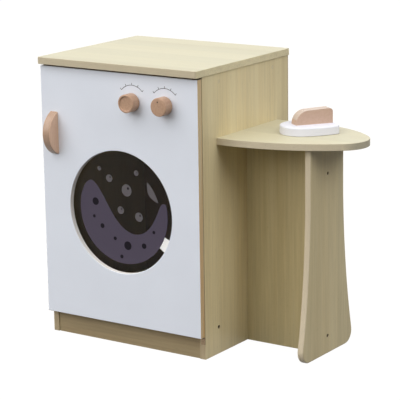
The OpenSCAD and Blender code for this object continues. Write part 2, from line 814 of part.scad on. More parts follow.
module sole_outline() {
    side_c = [iron_wide_x, -sole_side_c];
    nose_mid = [sole_nose_x, 0];
    heel_run = iron_wide_x - heel_corner_r;
    heel_c = side_c + [-heel_run, sqrt(pow(sole_side_r - heel_corner_r, 2) - pow(heel_run, 2))];
    heel_angle = angle_of(heel_c - side_c);
    nose_angle = angle_of(nose_mid - side_c);
    half = concat(
        arc(heel_c, heel_corner_r, 180, heel_angle + 3, 8),
        arc(side_c, sole_side_r, heel_angle, nose_angle, 14),
        arc(nose_mid, sole_nose_r, nose_angle - 5, 0, 12));
    polygon(concat(half, [for (i = [len(half) - 2 : -1 : 0]) [half[i][0], -half[i][1]]]));
}

module iron_sole() placed() color("white") iron_placed() difference() {
    linear_extrude(iron_t) sole_outline();
    at_iron_screws() countersunk_hole(iron_screw_l, wood_screw_r, wood_head_r, wood_head_h);
}

module at_iron_screws()
    for (x = iron_screw_x) translate([x, 0, iron_sink]) face_down() children();

// A block with a quarter-round front and a top that rises towards the heel, flat on the sole
module iron_handle() placed() color("rosybrown") iron_placed() difference() {
    translate([0, grip_t / 2, iron_t]) rotate([90, 0, 0]) linear_extrude(grip_t) polygon(concat(
        [[grip_x0, 0], [grip_x0 + grip_l, 0]],
        arc([grip_x0 + grip_l - grip_front_r, grip_h - grip_fall - grip_front_r], grip_front_r, 0, 90, 14),
        arc([grip_x0 + grip_back_r, grip_h - grip_back_r], grip_back_r, 90, 180, 6)));
    at_iron_screws() countersunk_hole(iron_screw_l, wood_screw_r, wood_head_r, wood_head_h);
}

module iron_screws() placed() color("silver") iron_placed()
    at_iron_screws() countersunk_screw(iron_screw_l, wood_screw_r, wood_head_r, wood_head_h);

left_side_panel();
right_side_panel();
bottom_board();
plinth_board();
front_top_rail();
back_top_rail();
back_panel();
back_panel_nails();
lid_board();
carcass_screws();
rail_screw_caps();
carcass_dowels();
lid_screws();
ironing_board();
brace_panel();
leg_panel();
leg_screws();
ironing_board_screws();
ironing_board_dowels();
top_pivot_pin();
bottom_pivot_pin();
bottom_pivot_bracket();
pivot_bracket_screw();
magnet_catch_case();
catch_magnet();
catch_pole_plates();
magnet_catch_screws();
door_panel();
window_pane();
window_print();
window_film_tab();
window_screws();
door_handle();
handle_screws();
strike_plate();
strike_plate_screw();
top_pivot_bush();
bottom_pivot_bush();
left_knob();
left_knob_screw();
left_knob_washer();
right_knob();
right_knob_screw();
right_knob_washer();
iron_sole();
iron_handle();
iron_screws();
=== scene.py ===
import json
import math

import bmesh
import bpy
from mathutils import Matrix, Vector

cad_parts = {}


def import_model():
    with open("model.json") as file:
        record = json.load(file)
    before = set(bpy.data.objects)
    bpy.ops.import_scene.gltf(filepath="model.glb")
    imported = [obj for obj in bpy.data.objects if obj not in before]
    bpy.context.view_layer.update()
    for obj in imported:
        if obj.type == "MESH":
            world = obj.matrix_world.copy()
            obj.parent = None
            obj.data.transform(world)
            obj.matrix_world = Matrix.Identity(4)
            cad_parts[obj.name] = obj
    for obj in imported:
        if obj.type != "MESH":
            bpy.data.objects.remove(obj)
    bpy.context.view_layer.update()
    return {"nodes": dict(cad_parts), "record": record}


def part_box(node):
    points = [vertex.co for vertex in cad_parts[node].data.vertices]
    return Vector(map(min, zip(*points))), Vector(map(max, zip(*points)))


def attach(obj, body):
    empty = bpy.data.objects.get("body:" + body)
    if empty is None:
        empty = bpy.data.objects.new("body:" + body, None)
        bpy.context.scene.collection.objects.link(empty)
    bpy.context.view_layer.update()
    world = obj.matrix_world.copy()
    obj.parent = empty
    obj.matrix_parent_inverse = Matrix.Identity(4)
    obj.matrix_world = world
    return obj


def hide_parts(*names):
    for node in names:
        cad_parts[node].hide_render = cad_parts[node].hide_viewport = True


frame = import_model()

# ---------------------------------------------------------------- sizes, in millimetres
# X from the left panel's left face, Y from the panels' front edges, Z from the floor.

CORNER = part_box("left_side_panel")[0]


def solid(node):
    """A CAD solid's low and high corners, in millimetres off the cabinet's corner."""
    return [(corner - CORNER) * 1000 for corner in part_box(node)]


DOOR, PANE, PRINT = solid("door_panel"), solid("window_pane"), solid("window_print")
GRIP, KNOB, SOLE = solid("door_handle"), solid("left_knob"), solid("iron_sole")

# door and window
DOOR_EASE = 0.9
DOOR_FRONT_Y = DOOR[0].y
EDGE_REACH = 3                   # a face this near the door's outline is one of its outer edges
WINDOW_X, WINDOW_Z = (PANE[0].x + PANE[1].x) / 2, (PANE[0].z + PANE[1].z) / 2
PANE_FRONT_Y = PANE[0].y
PANE_EASE, PANE_CLEARANCE = 0.25, 0.06
PRINT_R = (PRINT[1].x - PRINT[0].x) / 2
FILM_T = 0.1                     # one layer of printed film
FILM_GAP = 0.1                   # share of a layer left free, so that two layers stay apart
GLEAM_R, GLEAM_STEPS = 81, 24    # crescent of light on the print: its outer arc
GLEAM_FROM, GLEAM_TO = 18, 48    # in degrees
GLEAM_WIDTH = 0.17               # where it is widest, as a share of its radius

# half-moon handle: the cap of a disc
HANDLE_X, HANDLE_Z = (GRIP[0].x, GRIP[1].x), (GRIP[0].z + GRIP[1].z) / 2
HANDLE_OUT, HANDLE_HALF = GRIP[1].y - GRIP[0].y, (GRIP[1].z - GRIP[0].z) / 2
HANDLE_DISC_R = (HANDLE_HALF ** 2 + HANDLE_OUT ** 2) / (2 * HANDLE_OUT)
HANDLE_DISC_Y = GRIP[0].y + HANDLE_DISC_R
HANDLE_EASE, HANDLE_ROOT_R = 2.6, 2.2
HANDLE_ROOT_IN = 0.55            # how far the root corners' centres stand off the door, in their radii

# knobs: the left one is dished, the right one has a pointer dot
KNOB_R, KNOB_L = (KNOB[1].x - KNOB[0].x) / 2, KNOB[1].y - KNOB[0].y
KNOB_X = [solid(side + "_knob")[0].x + KNOB_R for side in ("left", "right")]
KNOB_Z, KNOB_BACK_Y = KNOB[0].z + KNOB_R, KNOB[1].y
KNOB_EASE, KNOB_BACK_EASE = 1.6, 0.8
DISH_R, DISH_LIP, DISH_COVE = 13.0, 0.7, 1.3
DISH_DEEP = DISH_LIP + DISH_COVE
POINTER_R, POINTER_DEEP = 1.5, 0.4
POINTER_OUT, POINTER_TURN = 9, 98        # from the knob's axis, and degrees from its right

# printed dials: an arc with ticks over each knob
DIAL_R, DIAL_SWEEP, DIAL_LINE = 30.2, 96, 0.95
DIAL_TICKS, DIAL_TICK_L = 5, 4.0
INK_T, INK_LIFT = 0.08, 0.03

# toy iron: edges above these heights get the full rounding
SOLE_EASE, SOLE_RIM_Z, SOLE_FOOT_SHARE = 2.6, SOLE[0].z + 8, 0.4
GRIP_EASE, GRIP_RIM_Z = 3.0, SOLE[0].z + 16
GRIP_HIGHLIGHT_SLOPE = 0.35            # faces that look up more than this take the lighter, greyer tone: a painted highlight


def at(x, y, z):
    """A place in the part's frame, in metres, from millimetres off the cabinet's corner."""
    return Vector((x / 1000, y / 1000, z / 1000)) + CORNER


def mm(*values):
    """Millimetres to metres."""
    return tuple(v / 1000 for v in values) if len(values) > 1 else values[0] / 1000


# ---------------------------------------------------------------- node helpers

def add(tree, kind, inputs=None, **settings):
    """Adds a node, sets its settings, and sets or links its inputs by name or number."""
    made = tree.nodes.new(kind)
    for key, value in settings.items():
        setattr(made, key, value)
    for key, value in (inputs or {}).items():
        socket = made.inputs[key]
        if isinstance(value, bpy.types.NodeSocket):
            tree.links.new(value, socket)
        else:
            socket.default_value = value
    return made


def blank_finish(name):
    """A new material: its node tree and its Principled shader."""
    mat = bpy.data.materials.new(name)
    mat.use_nodes = True
    tree = mat.node_tree
    shader = next(n for n in tree.nodes if n.type == "BSDF_PRINCIPLED")
    return mat, tree, shader


def maths(tree, operation, a, b=0.0, c=0.0):
    """One step of arithmetic on up to three values."""
    return add(tree, "ShaderNodeMath", {0: a, 1: b, 2: c}, operation=operation).outputs[0]


def noise(tree, vector, scale=1.0, detail=2.0, roughness=0.5, distortion=0.0):
    """A cloudy value, about 0.2 to 0.8."""
    return add(tree, "ShaderNodeTexNoise", {
        "Vector": vector, "Scale": scale, "Detail": detail,
        "Roughness": roughness, "Distortion": distortion}).outputs["Fac"]


def spread(tree, value, low, high, to_low=0.0, to_high=1.0):
    """Stretches a value from one range to another, and holds it there."""
    return add(tree, "ShaderNodeMapRange", {
        "Value": value, "From Min": low, "From Max": high,
        "To Min": to_low, "To Max": to_high}).outputs["Result"]


def blend(tree, amount, a, b, kind="MIX"):
    """Mixes two colours, each a socket or three numbers."""
    made = add(tree, "ShaderNodeMix", {"Factor": amount}, data_type="RGBA", blend_type=kind)
    for key, value in ((6, a), (7, b)):
        if isinstance(value, bpy.types.NodeSocket):
            tree.links.new(value, made.inputs[key])
        else:
            made.inputs[key].default_value = (*value, 1)
    return made.outputs[2]


def scaled(tree, vector, *factors):
    """Scales a place along each axis, which squeezes the pattern laid on it."""
    return add(tree, "ShaderNodeVectorMath", {0: vector, 1: factors}, operation="MULTIPLY").outputs[0]


def bumped(tree, shader, height, distance, strength=1.0):
    """Lets a height, in metres at most, tilt the shading."""
    made = add(tree, "ShaderNodeBump", {"Height": height, "Distance": distance, "Strength": strength})
    tree.links.new(made.outputs[0], shader.inputs["Normal"])


# ---------------------------------------------------------------- finishes

AXES = {"X": 0, "Y": 1, "Z": 2}
STAVE_WIDTH, STAVE_DEPTH = 0.058, 0.045          # of the glued boards, in metres
GRAIN_SHIFT = 3.0                                # at most, from one stave to the next, in metres


def wood_finish(name, along, across, pale, deep, end, figure=1.0, streak=0.03, gloss=0.5):
    """Lacquered light-wood board: glued staves with their own tone, long figure, fibres and
    short flecks along the grain, and its own colour where the grain is cut across."""
    mat, tree, shader = blank_finish(name)
    coords = add(tree, "ShaderNodeTexCoord")
    parts = add(tree, "ShaderNodeSeparateXYZ", {0: coords.outputs["Object"]}).outputs
    through = ({"X", "Y", "Z"} - {along, across}).pop()
    u, v, w = (parts[AXES[a]] for a in (along, across, through))
    # each stave has its own tone, and its figure starts elsewhere
    row = maths(tree, "FLOOR", maths(tree, "DIVIDE", v, STAVE_WIDTH))
    board = maths(tree, "FLOOR", maths(tree, "DIVIDE", w, STAVE_DEPTH))
    pick = add(tree, "ShaderNodeCombineXYZ", {0: row, 1: board})
    chance = add(tree, "ShaderNodeTexWhiteNoise", {"Vector": pick.outputs[0]}, noise_dimensions="3D")
    shift = maths(tree, "MULTIPLY_ADD", chance.outputs["Value"], GRAIN_SHIFT, u)
    grain = add(tree, "ShaderNodeCombineXYZ", {0: shift, 1: v, 2: w}).outputs[0]
    # long figure, rings, fibres, short flecks and broad streaks, all stretched along the grain
    bands = noise(tree, scaled(tree, grain, 1.3, 26, 26), detail=3, distortion=0.6)
    rings = add(tree, "ShaderNodeTexWave", {
        "Vector": scaled(tree, grain, 0.9, 22, 22), "Scale": 1.7, "Distortion": 5.5,
        "Detail": 2.5, "Detail Scale": 0.7}, wave_type="BANDS", bands_direction="Y").outputs["Fac"]
    fibres = noise(tree, scaled(tree, grain, 24, 1500, 1500), detail=2)
    flecks = spread(tree, noise(tree, scaled(tree, grain, 95, 820, 820), detail=1), 0.66, 0.8)
    streaks = noise(tree, scaled(tree, grain, 7, 230, 230), detail=3, roughness=0.65, distortion=0.4)
    colour = blend(tree, spread(tree, bands, 0.3, 0.7, 0, figure), pale, deep)
    colour = blend(tree, spread(tree, rings, 0.4, 1, 0, 0.12 * figure), colour, deep)
    tone = spread(tree, chance.outputs["Value"], 0, 1, 0.95, 1.03)
    tone = maths(tree, "MULTIPLY", tone, spread(tree, fibres, 0.25, 0.75, 0.965, 1.03))
    tone = maths(tree, "MULTIPLY", tone, spread(tree, flecks, 0, 1, 1, 0.84))
    tone = maths(tree, "MULTIPLY", tone, spread(tree, streaks, 0.3, 0.7, 1 - streak, 1 + streak))
    # end grain shows where a face looks along the grain
    facing = add(tree, "ShaderNodeSeparateXYZ", {0: coords.outputs["Normal"]}).outputs[AXES[along]]
    cut = spread(tree, maths(tree, "ABSOLUTE", facing), 0.55, 0.9)
    pores = noise(tree, scaled(tree, coords.outputs["Object"], 900, 900, 900), detail=2)
    arcs = noise(tree, scaled(tree, coords.outputs["Object"], 60, 60, 140), detail=1)
    end_tone = maths(tree, "MULTIPLY", spread(tree, pores, 0.3, 0.7, 0.86, 1.08),
                     spread(tree, arcs, 0.3, 0.7, 0.94, 1.04))
    colour = blend(tree, cut, colour, end)
    tone = add(tree, "ShaderNodeMix", {"Factor": cut, 2: tone, 3: end_tone}).outputs[0]
    grey = add(tree, "ShaderNodeCombineXYZ", {0: tone, 1: tone, 2: tone}).outputs[0]
    colour = blend(tree, 1.0, colour, grey, "MULTIPLY")
    tree.links.new(colour, shader.inputs["Base Color"])
    rough = maths(tree, "MULTIPLY_ADD", cut, 0.2, spread(tree, fibres, 0.2, 0.8, 0.37, 0.48))
    tree.links.new(rough, shader.inputs["Roughness"])
    shader.inputs["Specular IOR Level"].default_value = gloss
    height = maths(tree, "SUBTRACT", fibres, maths(tree, "MULTIPLY", flecks, 0.8))
    bumped(tree, shader, height, 0.00008, 0.5)
    return mat


def beech_finish(name, along, pale, deep, roughness=0.5, flecked=0.45):
    """Sanded pinkish beech with short dark ray flecks along the grain."""
    mat, tree, shader = blank_finish(name)
    coords = add(tree, "ShaderNodeTexCoord").outputs["Object"]
    stretch = [260, 260, 260]
    stretch[AXES[along]] = 26
    body = noise(tree, scaled(tree, coords, *stretch), detail=3, distortion=0.4)
    stretch = [1500, 1500, 1500]
    stretch[AXES[along]] = 240
    flecks = spread(tree, noise(tree, scaled(tree, coords, *stretch), detail=1), 0.6, 0.78)
    colour = blend(tree, spread(tree, body, 0.3, 0.7), pale, deep)
    colour = blend(tree, maths(tree, "MULTIPLY", flecks, flecked), colour, [c * 0.6 for c in deep])
    tree.links.new(colour, shader.inputs["Base Color"])
    tree.links.new(spread(tree, body, 0.2, 0.8, roughness - 0.06, roughness + 0.06),
                   shader.inputs["Roughness"])
    bumped(tree, shader, maths(tree, "SUBTRACT", body, flecks), 0.00006, 0.5)
    return mat


def paint_finish(name, colour, roughness, peel=0.00002, scale=700):
    """Sprayed white paint: a very slight change of tone, and orange peel."""
    mat, tree, shader = blank_finish(name)
    coords = add(tree, "ShaderNodeTexCoord").outputs["Object"]
    cloud = noise(tree, coords, scale=9, detail=2)
    skin = noise(tree, coords, scale=scale, detail=2)
    shade = blend(tree, spread(tree, cloud, 0.3, 0.7), colour, [c * 0.965 for c in colour])
    tree.links.new(shade, shader.inputs["Base Color"])
    tree.links.new(spread(tree, skin, 0.2, 0.8, roughness - 0.04, roughness + 0.05),
                   shader.inputs["Roughness"])
    bumped(tree, shader, skin, peel, 0.6)
    return mat


def raw_edge_finish(name, pale, deep):
    """Bare cut edge of the painted board: brown, with long streaks and fine pores."""
    mat, tree, shader = blank_finish(name)
    coords = add(tree, "ShaderNodeTexCoord").outputs["Object"]
    streaks = noise(tree, scaled(tree, coords, 60, 160, 4), detail=3)
    pores = noise(tree, coords, scale=1300, detail=2)
    colour = blend(tree, spread(tree, streaks, 0.3, 0.7), pale, deep)
    colour = blend(tree, spread(tree, pores, 0.55, 0.8, 0, 0.5), colour, [c * 0.6 for c in deep])
    tree.links.new(colour, shader.inputs["Base Color"])
    shader.inputs["Roughness"].default_value = 0.7
    shader.inputs["Specular IOR Level"].default_value = 0.2
    bumped(tree, shader, pores, 0.00008, 0.5)
    return mat


def fibre_finish(name, pale, deep):
    """Pressed hardboard: fine matted fibres, smooth side out."""
    mat, tree, shader = blank_finish(name)
    coords = add(tree, "ShaderNodeTexCoord").outputs["Object"]
    mats = noise(tree, scaled(tree, coords, 420, 420, 260), detail=4, distortion=1.2)
    cloud = noise(tree, coords, scale=14, detail=2)
    colour = blend(tree, spread(tree, mats, 0.35, 0.65), pale, deep)
    colour = blend(tree, spread(tree, cloud, 0.35, 0.65, 0, 0.25), colour, deep)
    tree.links.new(colour, shader.inputs["Base Color"])
    tree.links.new(spread(tree, mats, 0.2, 0.8, 0.54, 0.70), shader.inputs["Roughness"])
    bumped(tree, shader, mats, 0.00005, 0.5)
    return mat


def metal_finish(name, colour, roughness):
    """Plated steel with a fine cloudy brush."""
    mat, tree, shader = blank_finish(name)
    coords = add(tree, "ShaderNodeTexCoord").outputs["Object"]
    brush = noise(tree, scaled(tree, coords, 900, 900, 900), detail=3)
    tree.links.new(blend(tree, spread(tree, brush, 0.3, 0.7), colour, [c * 0.82 for c in colour]),
                   shader.inputs["Base Color"])
    tree.links.new(spread(tree, brush, 0.2, 0.8, roughness - 0.08, roughness + 0.1),
                   shader.inputs["Roughness"])
    shader.inputs["Metallic"].default_value = 1.0
    bumped(tree, shader, brush, 0.00003, 0.4)
    return mat


def moulded_finish(name, colour, roughness=0.45, gloss=0.5):
    """Moulded plastic, ceramic or printed film: a fine even texture."""
    mat, tree, shader = blank_finish(name)
    coords = add(tree, "ShaderNodeTexCoord").outputs["Object"]
    skin = noise(tree, coords, scale=1600, detail=2)
    tree.links.new(blend(tree, spread(tree, skin, 0.3, 0.7), colour, [c * 0.94 for c in colour]),
                   shader.inputs["Base Color"])
    tree.links.new(spread(tree, skin, 0.2, 0.8, roughness - 0.05, roughness + 0.05),
                   shader.inputs["Roughness"])
    shader.inputs["Specular IOR Level"].default_value = gloss
    bumped(tree, shader, skin, 0.00003, 0.4)
    return mat


def toned(share, *colours):
    """The same colours, darker or lighter by one share."""
    return [tuple(c * share for c in colour) for colour in colours]


# board colours: pale figure, deep figure, end grain
PALE, DEEP, END = (0.735, 0.64, 0.405), (0.665, 0.555, 0.325), (0.63, 0.515, 0.31)
TOP_PALE, TOP_DEEP, TOP_END = (0.585, 0.55, 0.395), (0.56, 0.51, 0.35), (0.53, 0.46, 0.34)
EDGE = (0.72, 0.62, 0.45), (0.66, 0.55, 0.38), (0.65, 0.55, 0.40)
TOP_EDGE = (0.635, 0.555, 0.405), (0.58, 0.50, 0.355)
# the lid's end grain is lighter, painted light on its lit right end; the ironing board's is darker, end
# grain and painted shade on its nose
LID_END_PAINTED_LIGHT, SHELF_END_PAINTED_SHADE = (0.76, 0.68, 0.46), (0.46, 0.42, 0.31)

# boards
side_wood = wood_finish("upright_board", "Z", "Y", PALE, DEEP, END, streak=0.07, gloss=0.3)
side_edge = wood_finish("upright_edge", "Z", "Y", *EDGE, figure=0.6)
# a darker copy of the edge wood: painted shade, the tone of the strips below the door that lie in its
# shadow
front_edge_painted_shade = wood_finish("front_edge_painted_shade", "Z", "Y", (0.47, 0.375, 0.24), (0.42, 0.33, 0.20),
                         (0.45, 0.36, 0.23), figure=0.6, gloss=0.3)
# the leg's faces and edges in darker copies of the panels' wood: painted shade
leg_edge_painted_shade = wood_finish("leg_edge_painted_shade", "Z", "Y", *toned(0.93, *EDGE), figure=0.6)
leg_wood_painted_shade = wood_finish("leg_board", "Z", "Y", *toned(0.86, PALE, DEEP, END), streak=0.07, gloss=0.2)
# the plinth in a darker copy of the wood: painted shade for the door's shadow over it
plinth_wood_painted_shade = wood_finish("plinth_board", "X", "Z", (0.39, 0.305, 0.175), (0.34, 0.25, 0.135),
                          (0.35, 0.265, 0.165), streak=0.1, gloss=0.3)
# the brace in a darker copy of the wood: painted shade for the nook under the ironing board
brace_wood_painted_shade = wood_finish("brace_board", "Z", "X", (0.59, 0.50, 0.28), (0.53, 0.43, 0.225), END,
                         streak=0.08, gloss=0.3)
floor_wood = wood_finish("bottom_board", "X", "Y", PALE, DEEP, END)
rail_wood = wood_finish("rail_board", "X", "Z", PALE, DEEP, END, gloss=0.2)
lid_top = wood_finish("worktop_board", "X", "Y", TOP_PALE, TOP_DEEP, TOP_END, figure=0.55)
lid_edge = wood_finish("lid_edge", "X", "Y", *TOP_EDGE, LID_END_PAINTED_LIGHT, figure=0.6, gloss=0.2)
# a lighter copy of the worktop wood: painted light against the cabinet's shade on the board's top
shelf_top_painted_light = wood_finish("ironing_board_top_painted_light", "X", "Y", *toned(1.04, TOP_PALE, TOP_DEEP, TOP_END),
                        figure=0.55)
shelf_edge = wood_finish("ironing_board_edge", "X", "Y", *TOP_EDGE, SHELF_END_PAINTED_SHADE, figure=0.6)
dowel_wood = wood_finish("dowel_hardwood", "X", "Y", (0.68, 0.52, 0.34), (0.55, 0.40, 0.25),
                         (0.5, 0.36, 0.22))
hardboard = fibre_finish("hardboard_brown", (0.40, 0.27, 0.155), (0.27, 0.17, 0.09))

# beech
# the handle's flat sides take a lighter beech, painted light, and its narrow faces a darker beech,
# painted shade
beech_painted_light = beech_finish("beech_painted_light", "Z", (0.76, 0.52, 0.37), (0.68, 0.44, 0.30), 0.34)
beech_painted_shade = beech_finish("beech_painted_shade", "Z", (0.46, 0.30, 0.205), (0.39, 0.245, 0.165), 0.3)
beech_turned = beech_finish("beech_turned", "Y", (0.51, 0.32, 0.21), (0.43, 0.26, 0.165), 0.34)
beech_grip = beech_finish("beech_grip", "X", (0.59, 0.415, 0.32), (0.55, 0.375, 0.28), flecked=0.1)
# the grip's upward faces: a lighter, greyer beech, a painted highlight from the top light
beech_grip_painted_highlight = beech_finish("beech_grip_painted_highlight", "X", (0.63, 0.52, 0.45), (0.60, 0.48, 0.40), flecked=0.1)

# paint, and the bare edges of the painted door
door_white = paint_finish("door_white", (0.815, 0.855, 0.945), 0.38)
# the window hole's wall: a lighter, warmer copy of the door's paint, painted light in the recess
hole_wall_painted_light = paint_finish("hole_wall_painted_light", (0.93, 0.89, 0.86), 0.5)
iron_white = paint_finish("iron_white", (0.79, 0.80, 0.885), 0.42, peel=0.00004, scale=500)
door_edge = raw_edge_finish("door_raw_edge", (0.66, 0.585, 0.40), (0.62, 0.39, 0.185))
# the door's top edge in a much darker brown than its other bare edges: painted shade for the gap under
# the lid
top_edge_painted_shade = raw_edge_finish("painted_shade_top_edge", (0.27, 0.20, 0.12), (0.21, 0.14, 0.075))

# metal, plastic and magnet
zinc = metal_finish("zinc_plate", (0.40, 0.41, 0.42), 0.36)
dark_steel = metal_finish("browned_steel", (0.17, 0.14, 0.09), 0.5)
# the pivot bracket and its screw: steel coloured the brown of the shade under the door's corner, painted
# shade
shade_brown_steel = metal_finish("steel_in_shade_brown", (0.30, 0.22, 0.14), 0.6)
nylon = moulded_finish("white_nylon", (0.82, 0.82, 0.80))
tan_plastic = moulded_finish("tan_plastic", (0.66, 0.57, 0.37), 0.5)
tab_white = moulded_finish("tab_white", (0.97, 0.97, 0.97), 0.55)
ferrite = moulded_finish("ferrite", (0.05, 0.05, 0.055), 0.6)

# printed film and ink
water_print = moulded_finish("print_water", (0.080, 0.066, 0.098), 0.5, gloss=0.15)
bubble_print = moulded_finish("print_bubble", (0.13, 0.118, 0.126), 0.5, gloss=0.15)
shade_print = moulded_finish("print_shade", (0.006, 0.004, 0.008), 0.6, gloss=0.1)
dial_print = moulded_finish("dial_print", (0.03, 0.034, 0.045), 0.5, gloss=0.2)
knob_dot = moulded_finish("knob_dot", (0.10, 0.06, 0.045), 0.8)


def pane_finish():
    """Clear acrylic with a faint smoke tint and fine wipe marks."""
    mat, tree, shader = blank_finish("clear_acrylic")
    coords = add(tree, "ShaderNodeTexCoord").outputs["Object"]
    wipe = noise(tree, scaled(tree, coords, 60, 60, 12), detail=3)
    shader.inputs["Base Color"].default_value = (0.50, 0.485, 0.48, 1)
    shader.inputs["Transmission Weight"].default_value = 1.0
    shader.inputs["IOR"].default_value = 1.18
    tree.links.new(spread(tree, wipe, 0.3, 0.7, 0.01, 0.05), shader.inputs["Roughness"])
    return mat


pane_clear = pane_finish()

# ---------------------------------------------------------------- mesh helpers


def shown(name, mesh, *mats):
    """Puts a mesh in the scene under its name, with its finishes."""
    obj = bpy.data.objects.new(name, mesh)
    bpy.context.scene.collection.objects.link(obj)
    for mat in mats:
        mesh.materials.append(mat)
    return obj


def settled(obj):
    """Turns an object's modifiers into its plain mesh."""
    graph = bpy.context.evaluated_depsgraph_get()
    graph.update()
    mesh = bpy.data.meshes.new_from_object(obj.evaluated_get(graph), depsgraph=graph)
    old = obj.data
    obj.modifiers.clear()
    obj.data = mesh
    mesh.name = obj.name
    bpy.data.meshes.remove(old)
    return obj


def smooth(mesh, angle=35):
    """Smooth shading, broken where two faces meet at more than an angle."""
    mesh.shade_smooth()
    mesh.set_sharp_from_angle(angle=math.radians(angle))


def weigh(obj):
    """Smooth shading that leaves flat faces flat."""
    smooth(obj.data)
    weighted = obj.modifiers.new("weigh", "WEIGHTED_NORMAL")
    weighted.keep_sharp = True
    weighted.weight = 100


def sharp_edges(bm, small):
    """The sharp edges of a board, without the rims of holes smaller than a size in metres."""
    limit = math.radians(28)
    sharp = {e for e in bm.edges if len(e.link_faces) == 2 and e.calc_face_angle(0) > limit}
    kept = []
    while sharp:
        group, todo = [], [sharp.pop()]
        while todo:
            edge = todo.pop()
            group.append(edge)
            near = {e for v in edge.verts for e in v.link_edges if e in sharp}
            sharp -= near
            todo.extend(near)
        spots = [v.co for e in group for v in e.verts]
        size = [max(c[i] for c in spots) - min(c[i] for c in spots) for i in range(3)]
        if Vector(size).length > small:
            kept.extend(group)
    return kept


def eased(name, node, width, *mats, segments=3, keep=None, small=0.05, paint=None):
    """The CAD solid with its long edges rounded. keep(middle) gives an edge's share of the
    rounding, and paint(normal, middle) the number of the finish that a face takes."""
    bm = bmesh.new()
    bm.from_mesh(frame["nodes"][node].data)
    bmesh.ops.remove_doubles(bm, verts=bm.verts, dist=1e-6)
    bmesh.ops.dissolve_limit(bm, angle_limit=math.radians(0.4), verts=bm.verts, edges=bm.edges)
    bm.normal_update()
    weights = bm.edges.layers.float.new("bevel_weight_edge")
    for edge in sharp_edges(bm, small=small):
        middle = (edge.verts[0].co + edge.verts[1].co) / 2 - CORNER
        edge[weights] = 1.0 if keep is None else float(keep(middle * 1000))
    for face in bm.faces:
        face.material_index = 0
        if paint:
            face.material_index = paint(face.normal, (face.calc_center_median() - CORNER) * 1000)
    mesh = bpy.data.meshes.new(name)
    bm.to_mesh(mesh)
    bm.free()
    obj = shown(name, mesh, *mats)
    bevel = obj.modifiers.new("ease", "BEVEL")
    bevel.limit_method = "WEIGHT"
    bevel.width = mm(width)
    bevel.segments = segments
    weigh(obj)
    return settled(obj)


def lathe(name, profile, origin, steps, *mats):
    """Spins a profile of (radius, distance out of the door), in mm, about a knob's axis."""
    bm = bmesh.new()
    rings = []
    for radius, out in profile:
        if radius == 0:
            rings.append([bm.verts.new(origin + Vector((0, -mm(out), 0)))])
            continue
        ring = []
        for i in range(steps):
            a = 2 * math.pi * i / steps
            ring.append(bm.verts.new(origin + Vector((
                mm(radius) * math.cos(a), -mm(out), mm(radius) * math.sin(a)))))
        rings.append(ring)
    for low, high in zip(rings, rings[1:]):
        for i in range(steps):
            j = (i + 1) % steps
            if len(low) == 1:
                bm.faces.new((low[0], high[i], high[j]))
            elif len(high) == 1:
                bm.faces.new((low[i], high[0], low[j]))
            else:
                bm.faces.new((low[i], high[i], high[j], low[j]))
    bmesh.ops.recalc_face_normals(bm, faces=bm.faces)
    mesh = bpy.data.meshes.new(name)
    bm.to_mesh(mesh)
    bm.free()
    obj = shown(name, mesh, *mats)
    smooth(mesh, 40)
    return obj


def curve_round(x, y, radius, start, stop, steps=6):
    """Points on a round corner, in degrees."""
    turns = [math.radians(start + (stop - start) * i / steps) for i in range(steps + 1)]
    return [(x + radius * math.cos(a), y + radius * math.sin(a)) for a in turns]


def printed(name, outlines, mat):
    """A flat layer of film on the pane: outlines in mm about the window's centre, filled,
    with inner ones left open."""
    data = bpy.data.curves.new(name, "CURVE")
    data.dimensions = "2D"
    data.fill_mode = "BOTH"
    data.extrude = mm(FILM_T) / 2
    for outline in outlines:
        spline = data.splines.new("POLY")
        spline.points.add(len(outline) - 1)
        for point, (x, y) in zip(spline.points, outline):
            point.co = (mm(x), mm(y), 0, 1)
        spline.use_cyclic_u = True
    flat = bpy.data.objects.new(name, data)
    bpy.context.scene.collection.objects.link(flat)
    graph = bpy.context.evaluated_depsgraph_get()
    mesh = bpy.data.meshes.new_from_object(flat.evaluated_get(graph))
    bpy.data.objects.remove(flat)
    bpy.data.curves.remove(data)
    place = Matrix.Translation(at(WINDOW_X, PANE_FRONT_Y - FILM_T / 2, WINDOW_Z))
    mesh.transform(place @ Matrix.Rotation(math.radians(90), 4, "X"))
    bm = bmesh.new()
    bm.from_mesh(mesh)
    bmesh.ops.remove_doubles(bm, verts=bm.verts, dist=1e-6)
    bmesh.ops.recalc_face_normals(bm, faces=bm.faces)
    bm.to_mesh(mesh)
    bm.free()
    mesh.materials.clear()
    return shown(name, mesh, mat)


def carried(obj, body, slot, *nodes):
    """The piece rides on a body and stands for CAD nodes, which it hides; the slot is not used."""
    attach(obj, body)
    if nodes:
        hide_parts(*nodes)
    return obj


# ---------------------------------------------------------------- Geometry Nodes helpers

def geometry_tree(name, inputs):
    """An empty tree with its named inputs, and the sockets that give them."""
    tree = bpy.data.node_groups.new(name, "GeometryNodeTree")
    tree.interface.new_socket("Geometry", in_out="OUTPUT", socket_type="NodeSocketGeometry")
    tree.interface.new_socket("Geometry", in_out="INPUT", socket_type="NodeSocketGeometry")
    for label, kind in inputs:
        tree.interface.new_socket(label, in_out="INPUT", socket_type="NodeSocket" + kind)
    return tree, add(tree, "NodeGroupInput").outputs


def tree_end(tree, instances, finish):
    """Realize Instances, Set Material and the tree's output."""
    real = add(tree, "GeometryNodeRealizeInstances", {0: instances})
    painted = add(tree, "GeometryNodeSetMaterial", {"Geometry": real.outputs[0], "Material": finish})
    add(tree, "NodeGroupOutput", {0: painted.outputs[0]})


